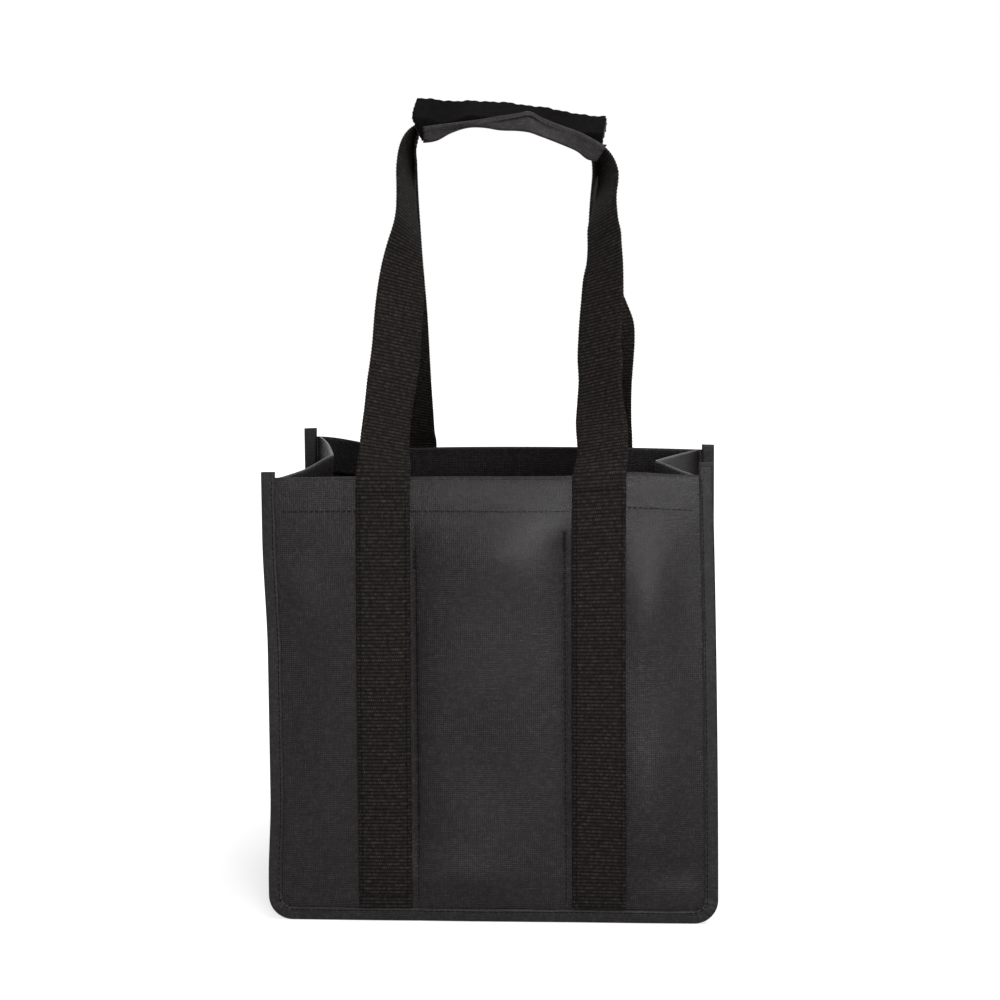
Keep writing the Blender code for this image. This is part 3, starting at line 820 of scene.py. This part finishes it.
# %% The grip's own shape
# Along the grip: X, how far it leans to the front in degrees, how far the pinch lifts the straps, and the
# heights of the wrap's top edge, of the lower flap's hem and of its lowest fold over the grip's line
grip_stations = np.array([
    (-49.5, 15, 0.0, 11.8, -5.4, -14.6), (-42, 16, 0.0, 11.6, -5.2, -14.6), (-34, 22, 0.6, 11.5, -3.6, -12.6),
    (-27, 24, 1.4, 11.7, -2.2, -8.2), (-16, 19, 4.5, 12.6, 0.2, -3.9), (-7, 19, 4.7, 13.1, 2.0, -3.2),
    (1, 19, 4.4, 13.3, 3.9, -3.8), (12, 19, 4.4, 13.0, 6.4, -3.3), (18, 20, 4.3, 12.7, 7.9, -3.4),
    (25, 22, 2.9, 12.4, 5.2, -5.4), (35, 23, 0.9, 11.5, 2.3, -8.4), (46, 17, 0.0, 10.2, -0.6, -12.0),
    (55, 15, 0.0, 10.2, -3.7, -15.0), (64, 15, 0.0, 11.0, -7.4, -16.0),
]) * (mm, math.radians(1), mm, mm, mm, mm)


def in_grip(across, level, lean):
    """A place in the grip's section: across the straps towards the back, and above the plane between them."""
    return stacked(across * np.cos(lean) - level * np.sin(lean), across * np.sin(lean) + level * np.cos(lean))


def grip_line(x):
    """Height of the grip's line, which falls to the right."""
    return grip_z - grip_slope * (x - 4 * mm) - 0.3 * mm


def strap_in_grip(x, level):
    """Where a strap's middle runs along the grip, and its lean there."""
    lean, lift = smooth(grip_stations, x)[:, :2].T
    y, above = in_grip(0 * lean, level, lean).T
    return stacked(x, y, grip_line(x) + lift + above), lean


def sideways(points):
    """The handles lean a hair to the right, turned about the middle of the bag's mouth."""
    x, z = points[..., 0], points[..., 2]
    lean = math.radians(0.45)
    shift = lean * np.clip(z - panel_height, 0, None)
    lift = (1.4 * mm - lean * x) * step_up(z, panel_height, panel_height + 80 * mm)
    return points + stacked(shift, 0, lift)


strap_level = (gap + strap_thickness) / 2
# How much of its way out to the panel a leg has left, by how far up it is from the panel's edge to the grip
leg_away = ((0.00, 1.00), (0.30, 0.68), (0.52, 0.45), (0.74, 0.23), (0.86, 0.13), (0.93, 0.06), (1, 0))
print("grip at its ends:", round(grip_line(-0.05), 4), round(grip_line(0.055), 4))

# %% Where each leg's two edges run, in mm: height, left edge, right edge
leg_edges = {
    ("front", "left"): (
        (8, -74.1, -44.1), (120, -73.6, -43.6), (236, -72.9, -42.9), (246, -72.8, -42.9), (252, -71.6, -43.6),
        (266, -70.9, -44.3), (287, -69.2, -43), (298, -68.6, -41.4), (308, -67.5, -40.4), (319, -66.6, -40.2),
        (330, -66.3, -39.9), (341, -65.7, -39.6), (352, -64.6, -39.8), (363, -62.8, -41.6), (374, -60, -43.4),
        (385, -56.7, -45.6), (391, -55.8, -46.4), (397, -55.7, -46.9), (405, -55.9, -47.9), (413, -56.3, -48.6),
        (419, -56.1, -49.6), (424, -55.3, -50.2)),
    ("front", "right"): (
        (8, 44.3, 74.3), (120, 44.6, 74.4), (236, 45.4, 75.2), (246, 45.6, 75.4), (251, 46.8, 76),
        (277, 46.1, 75.2), (288, 46.5, 73.3), (298, 46.9, 72.1), (309, 46.1, 72.6), (320, 46.3, 71.5),
        (331, 46.8, 71.9), (341, 47.5, 72.5), (352, 48.3, 72.4), (363, 50.4, 72), (374, 50.3, 71),
        (380, 50.2, 70.6), (385, 51.4, 69.2), (391, 53, 68.4), (396, 54.4, 67.9), (402, 55.3, 68),
        (407.5, 56, 68.8), (411, 56.8, 68.8)),
    ("back", "left"): (
        (8, -74, -44), (236, -74, -44), (246, -73.8, -44), (262, -73, -44), (290, -72.5, -44.3),
        (315, -71, -44.3), (338, -69.5, -44.5), (355, -65, -45), (370, -60, -45.4), (382, -55.5, -45.7),
        (392, -54, -46), (402, -53, -46.2), (413, -52.4, -46.2), (424, -52, -46)),
    ("back", "right"): (
        (8, 44.5, 74.5), (236, 45.4, 75.4), (246, 45.6, 75.6), (262, 45.8, 75.2), (290, 46, 75.6),
        (304, 47, 76.6), (314, 48.5, 77.2), (325, 49.5, 76.6), (335, 49, 73), (345, 48.5, 69), (358, 49, 65.5),
        (372, 50, 63), (385, 50.6, 61.5), (396, 51.4, 60.8), (407, 52.6, 60.8), (418, 53.8, 61)),
}
leg_edges = {leg_name: np.array(edges, float) * mm for leg_name, edges in leg_edges.items()}
# The bend on top of each leg: height where it starts, X where it has turned into the grip, and fullness
leg_bends = {("front", "left"): (416 * mm, -41 * mm, 1.5), ("front", "right"): (407 * mm, 47 * mm, 1.9),
             ("back", "left"): (424 * mm, -40 * mm, 1), ("back", "right"): (411 * mm, 46.5 * mm, 1)}


def leg(row, hand, level):
    """A leg's middle line, turn and slope across, from its foot to where it lies flat in the grip."""
    side = row_sides[row]
    edges = leg_edges[row, hand]
    top, inner_x, fullness = leg_bends[row, hand]
    (grip_end,), (lean_in_grip,) = strap_in_grip(np.array([inner_x]), level)
    foot = edges[0, 0] + 0.2 * mm
    z = np.linspace(foot, top, round((top - foot) / (0.5 * mm)))
    around = np.linspace(0, math.pi / 2, 48)[1:]
    all_z = np.concatenate([z, top + (grip_end[2] - top) * np.sin(around)])
    away = smooth(leg_away, (all_z - panel_height) / (grip_end[2] - panel_height))[:, 0]
    y = grip_end[1] + (side * strap_y - grip_end[1]) * away
    slope = -np.arctan2(np.gradient(y[:len(z)]), np.gradient(z))
    turn = z * 0
    for _ in range(4):
        rise = side * hand_sides[hand] * strap_width / 2 * np.sin(turn) * np.sin(slope)
        left = smooth(edges, z - rise)[:, 0]
        right = smooth(edges, z + rise)[:, 1]
        wide = right - left - strap_thickness * np.sin(turn)
        turn = np.arccos(np.clip(wide / strap_width, 0, 1)) * step_up(z, panel_height, panel_height + 12 * mm)
    soft = np.hanning(19) / np.hanning(19).sum()
    turn, middle = (
        np.convolve(np.pad(values, 9, mode="edge"), soft, "valid") for values in (turn, (left + right) / 2))
    bend_x = middle[-1] + (inner_x - middle[-1]) * (1 - np.cos(around) ** fullness)
    turned = np.sin(around)
    turn = np.concatenate([turn, turn[-1] + (math.pi / 2 - turn[-1]) * turned])
    slope = np.concatenate([slope, slope[-1] + (lean_in_grip - slope[-1]) * turned**2])
    return stacked(np.concatenate([middle, bend_x]), y, all_z), turn, slope


def strap(row, level):
    """A closed flat section carried along the whole strap, with a rib every 2 mm across it."""
    side = row_sides[row]
    (left, left_turn, left_slope), (right, right_turn, right_slope) = (leg(row, hand, level) for hand in hand_sides)
    run, run_lean = strap_in_grip(np.linspace(left[-1, 0], right[-1, 0], 200)[1:-1], level)
    centre = np.concatenate([left, run, right[::-1]])
    turn = np.concatenate([left_turn, np.full(len(run), math.pi / 2), math.pi - right_turn[::-1]])
    slope = np.concatenate([left_slope, run_lean, right_slope[::-1]])
    far = lengths(centre)
    rows = np.arange(0, far[-1], rib / 4)
    x, y, z, turn, slope = read(np.column_stack([centre, turn, slope]), far, rows).T
    centre = stacked(x, y, z)
    across = stacked(np.cos(turn), -side * np.sin(turn) * np.cos(slope), -side * np.sin(turn) * np.sin(slope))
    along = np.gradient(centre, axis=0)
    normal = np.cross(along, across)
    normal /= np.linalg.norm(normal, axis=1, keepdims=True)
    crest = np.abs(np.sin(np.pi * rows / rib))[:, None]
    half = strap_width / 2
    face = np.linspace(-1, 1, 11) * (half - 0.5 * mm)
    place_across = np.concatenate([face, [half], face[::-1], [-half]])
    height = np.concatenate([np.ones(11), [0], -np.ones(11), [0]]) * strap_thickness / 2
    edge = np.abs(place_across) > half - 0.6 * mm
    place_across = place_across - np.sign(place_across) * edge * 0.3 * mm * (1 - crest)
    height = height * (0.68 + 0.32 * crest)
    points = centre[:, None] + across[:, None] * place_across[..., None] + normal[:, None] * height[..., None]
    points = sideways(np.where(points[..., 2:] < panel_height + 60 * mm, settle(points), points))
    width = np.concatenate([face, [half], half + (half - face[::-1]), [3 * half, 3 * half + mm]])
    uv = stacked(width, rows[:, None])
    piece = place(grid_mesh(f"{row}_strap_webbing", points, uv, webbing_look, closed=True), None)
    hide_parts(f"{row}_left_strap", f"{row}_right_strap", f"{row}_handle_loop")
    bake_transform(piece)
    print(piece.name, "is", round(float(far[-1]), 3), "m long,", len(piece.data.polygons), "faces")
    return piece


strap("front", strap_level)
back_strap = strap("back", -strap_level)

# %% [markdown]
# ## Wrap
# A cloth sewn under the back handle closes round both straps. The upper flap comes over the top and carries
# loop tape, and the lower flap comes up in front of it with hook tape inside. It was pressed shut at one
# place, where its hem is highest. Towards both ends it gapes, and the lower flap hangs in a loose fold. A
# bent tube would look too even, so each cloth is a row of sections across the grip. A section is a short path
# through a few corners, and tables along the grip say where these lie.

# %% Layers of the wrap
wrap_left = -48.6 * mm
wrap_right = 60.5 * mm
wrap_tape = 1 * mm
# From the plane between the straps to the wrap's middle, and from a flap's middle to its tape's
wrap_level = gap / 2 + strap_thickness + gap + cloth / 2
tape_rise = cloth / 2 + 0.1 * mm + wrap_tape / 2
root = strap_width / 2 + gap / 2
front_y = -root - 4.2 * mm


def grip_form(x):
    """Lean, lift, top edge, hem and lowest fold at one place along the grip."""
    return smooth(grip_stations, np.array([x]))[0]


def offset(path, distance):
    """A path moved sideways to its left, by one distance all along."""
    along = np.gradient(path, axis=0)
    along /= np.linalg.norm(along, axis=1, keepdims=True)
    return path + distance * stacked(-along[:, 1], along[:, 0])


def base_section(x):
    """Flat under the lower strap."""
    lean, lift = grip_form(x)[:2]
    return in_grip(np.linspace(-1, 1, 26) * (strap_width - gap) / 2, -wrap_level, lean) + (0, lift)


def upper_corners(x):
    """The upper flap's corners: under the back edge, behind it, on top, at the front edge, and its end."""
    lean, lift, top, hem_at, low = grip_form(x)
    start, corner, front = (
        in_grip(across, level, lean) + (0, lift)
        for across, level in ((root, -wrap_level), (root + wrap_level, -wrap_level), (-root - 0.9 * mm, wrap_level))
    )
    worn = 0.35 * mm * np.sin(x / (2.3 * mm)) * np.sin(x / (7 * mm) + 1) + 0.2 * mm * np.sin(x / (0.83 * mm))
    back = np.array([corner[0] - 1.2 * mm, top - 1.6 * mm + worn])
    tucked = step_up(x, -44 * mm, -36 * mm)
    fall = min(-0.8 * mm, max(hem_at - (9.5 - 5 * tucked) * mm, low + (0.8 + 1.8 * tucked) * mm) - front[1])
    return start, corner, back, front, front + (-0.3 * mm, fall)


def upper_section(x):
    """Round the back edge, forward along the top and down over the front edge."""
    return resampled(rounded(upper_corners(x), 0.7 * mm, 6), 60)


def loop_section(x):
    """Loop tape on the upper flap, from its back edge over the front one."""
    back, front, end = upper_corners(x)[2:]
    path = rounded([back + (-0.6 * mm, -0.2 * mm), front, end + (0, 0.4 * mm)], 0.7 * mm, 6)
    return offset(resampled(path, 48), -tape_rise)


def lower_corners(x):
    """The lower flap's corners: under the front edge, its lowest fold, its face, and the hem turned outwards."""
    lean, lift, top, hem_at, low = grip_form(x)
    start = in_grip(-root, -wrap_level, lean) + (0, lift)
    low = low + cloth / 2
    shut = np.clip((hem_at + 1 * mm) / (9 * mm), 0, 1)
    fold = np.array([front_y + 2.2 * mm - 2.2 * mm * shut, low + 0.4 * mm])
    top_edge = np.array([front_y - 0.4 * mm + 3.4 * mm * shut, hem_at - cloth / 2])
    face = (fold + top_edge) / 2 - (0.9 * mm * shut, 0)
    down = (face - top_edge) / np.linalg.norm(face - top_edge)
    turned = top_edge + 1.15 * mm * np.array([down[1], -down[0]])
    return start, (start[0] - 1.0 * mm, low), fold, face, top_edge, turned, turned + 2.4 * mm * down


def lower_section(x):
    """Down from under the front edge, up over its face to the hem, and down again in front of it."""
    return resampled(rounded(lower_corners(x), 0.42 * mm, 5), 72)


def hook_section(x):
    """Hook tape on the inside of the lower flap, under its hem."""
    corners = lower_corners(x)
    path = offset(resampled(np.array(corners[2:5]), 60), -tape_rise)
    return resampled(path[path[:, 1] < corners[6][1] - 0.5 * mm][-34:], 16)


def wrap_surface(name, section, node, ends, slant=(0, 0), thickness=cloth, look=wrap_cloth):
    """A piece of the wrap, and its flat size. section(x) gives its path across the grip at each X, as Y and height.

    slant says how far the lowest part of each end is cut back, left then right.
    """
    x = np.linspace(*ends, round((ends[1] - ends[0]) / (1.2 * mm)))
    paths = np.array([section(place_x) for place_x in x])
    steps = np.linalg.norm(np.diff(paths, axis=1), axis=2)
    y, z = paths[..., 0], paths[..., 1]
    fray = np.random.default_rng(7).normal(0, 0.22 * mm, paths.shape[1])
    low_part = np.clip(1 - (z - z.min(1, keepdims=True)) / (16 * mm), 0, 1) ** 1.5
    left_cut = slant[0] * (1 - step_up(x, ends[0], ends[0] + 12 * mm))
    right_cut = slant[1] * step_up(x, ends[1] - 22 * mm, ends[1])
    to_ends = 1 - step_up(np.minimum(x - ends[0], ends[1] - x), 0, 2.5 * mm)
    shift = low_part * (left_cut - right_cut)[:, None] + fray * to_ends[:, None]
    points = stacked(x[:, None] + shift, y, z + grip_line(x)[:, None])
    across = np.concatenate([[0], np.cumsum(steps.mean(0))])
    uv = stacked(across, x[:, None])
    piece = cloth_sheet(name, node, sideways(points), uv, look, thickness, body=None)
    return piece, (float(across[-1]), float(x[-1] - x[0]))


def hinged(piece):
    """Bakes the piece's place into its own points; it is held to no body."""
    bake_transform(piece)


wrap_base, base_flat = wrap_surface("wrap_base_cloth", base_section, "grip_wrap_base", (-42.5 * mm, 51.5 * mm))
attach(wrap_base, "back_handle")
upper_flap, upper_flat = wrap_surface(
    "upper_flap_cloth", upper_section, "grip_upper_flap", (wrap_left, wrap_right), (6 * mm, 2 * mm))
lower_flap, lower_flat = wrap_surface(
    "lower_flap_cloth", lower_section, "grip_lower_flap", (-41.4 * mm, 63.6 * mm), (0, 7.5 * mm))
loop_tape, _ = wrap_surface(
    "loop_tape_strip", loop_section, "loop_strip", (wrap_left + 0.4 * mm, wrap_right - 0.4 * mm),
    (6 * mm, 2 * mm), wrap_tape, loop_look)
hook_tape, _ = wrap_surface(
    "hook_tape_strip", hook_section, "hook_strip", (4 * mm, 50 * mm), (0, 0), wrap_tape * 0.8, hook_look)
for piece in (upper_flap, loop_tape):
    hinged(piece)
for piece in (lower_flap, hook_tape):
    hinged(piece)
print("wrap pieces:", wrap_base.name, "/", upper_flap.name, "/", lower_flap.name)

# %% [markdown]
# ## Stitches
# Rows of lockstitch hold everything. They could be painted in the material, but thread stands off the cloth and
# is seen from the side too. One stitch is a short bowed bar of thread with six sides, and a row is that same
# bar at even steps along a seam, bent to the cloth by the same warp.


# %% Stitches
stitch_length = 2.6 * mm
stitch_pitch = 3.0 * mm
thread_radius = 0.24 * mm


def stitch_row(path, out):
    """Stitches along a path: start and end of each, and the way out of the cloth."""
    far = lengths(path)
    count = max(1, int(far[-1] / stitch_pitch))
    starts = (np.arange(count) + 0.5 * (far[-1] / stitch_pitch - count) + 0.07) * stitch_pitch
    start, end = (read(path, far, starts + shift) for shift in (0, stitch_length))
    return start, end, np.broadcast_to(np.array(out, float), start.shape)


def stitches(name, rows, body):
    """All stitches of some rows as one mesh: each is five rings of six points along its bow, closed at both ends."""
    start, end, out = (np.concatenate([row[k] for row in rows]) for k in range(3))
    along = end - start
    side = np.cross(out, along / np.linalg.norm(along, axis=1, keepdims=True))
    t = np.array([0, 0.16, 0.5, 0.84, 1])
    bow = np.array([-0.9, 0.45, 0.75, 0.45, -0.9]) * thread_radius
    girth = np.array([0.45, 0.95, 1.05, 0.95, 0.45]) * thread_radius
    angle = np.arange(6) / 6 * math.tau
    centre = start[:, None] + along[:, None] * t[:, None] + out[:, None] * bow[:, None]
    ring = out[:, None, None] * np.cos(angle)[:, None] + side[:, None, None] * np.sin(angle)[:, None]
    points = centre[:, :, None] + ring * girth[:, None, None]
    index = np.arange(30).reshape(5, 6)
    right = np.roll(index, -1, axis=1)
    quads = np.stack([index[:-1], index[1:], right[1:], right[:-1]], axis=-1).reshape(-1, 4)
    caps = np.array([[0, 1, 2, 3], [0, 3, 4, 5], [27, 26, 25, 24], [29, 28, 27, 24]])
    faces = np.concatenate([quads, caps]) + 30 * np.arange(len(start))[:, None, None]
    piece = place(mesh_from(name, points, faces.ravel(), np.arange(0, faces.size, 4), thread_look), body)
    print(name, "has", len(start), "stitches")
    return piece


def sewn_line(start, end, y):
    """A row of stitches on a panel, straight from one place (X, Z) to another and laid on the settled cloth."""
    x, z = np.linspace(start, end, 120).T
    return stitch_row(settle(stacked(x, y, z)), (0, np.sign(y), 0))


rows = []
inset = strap_width / 2 - 2.5 * mm
for row, side in row_sides.items():
    face = side * face_y
    web = side * (strap_y + strap_thickness / 2)
    hem_z = panel_height - hem_height + 2.5 * mm
    rows.append(sewn_line((-hem_half, hem_z), (hem_half, hem_z), face))
    for hand, out in hand_sides.items():
        # The divider's seam, with two short rows beside its top
        seam_x = out * middle_cell / 2
        seam_top = divider_top + (-0.5 + out * 5) * mm
        for beside, low in ((0, 10 * mm), (-0.55 * mm, seam_top - 12 * mm), (0.55 * mm, seam_top - 12 * mm)):
            rows.append(sewn_line((seam_x + beside, low), (seam_x + beside, seam_top), face))
        # The strap, sewn along both its edges and across it at its foot and its top
        height, strap_x = leg_edges[row, hand][:, 0], leg_edges[row, hand][:, 1:].mean(axis=1)
        foot_x, top_x = np.interp((12 * mm, 238 * mm), height, strap_x)
        for edge in (-inset, inset):
            rows.append(sewn_line((foot_x + edge, 12 * mm), (top_x + edge, 240 * mm), web))
        for level in (strap_foot + 2 * mm, strap_foot + 7 * mm, 238 * mm):
            middle_x = np.interp(level, height, strap_x)
            rows.append(sewn_line((middle_x - inset, level), (middle_x + inset, level), web))
seam_thread = stitches("seam_stitches", rows, "bag")

# %% Binding stitches
rows = []
line = 3.4 * mm
for side in row_sides.values():
    x, z, out_x, out_z = seam_path(np.arange(floor_z + inner_radius, panel_height, 4 * mm), 12, 4 * mm)
    path = stacked(x + out_x * line, side * (outer_tape_y + tape / 2), z + out_z * line)
    rows.append(stitch_row(settle(path), (0, side, 0)))
binding_thread = stitches("binding_stitches", rows, "bag")
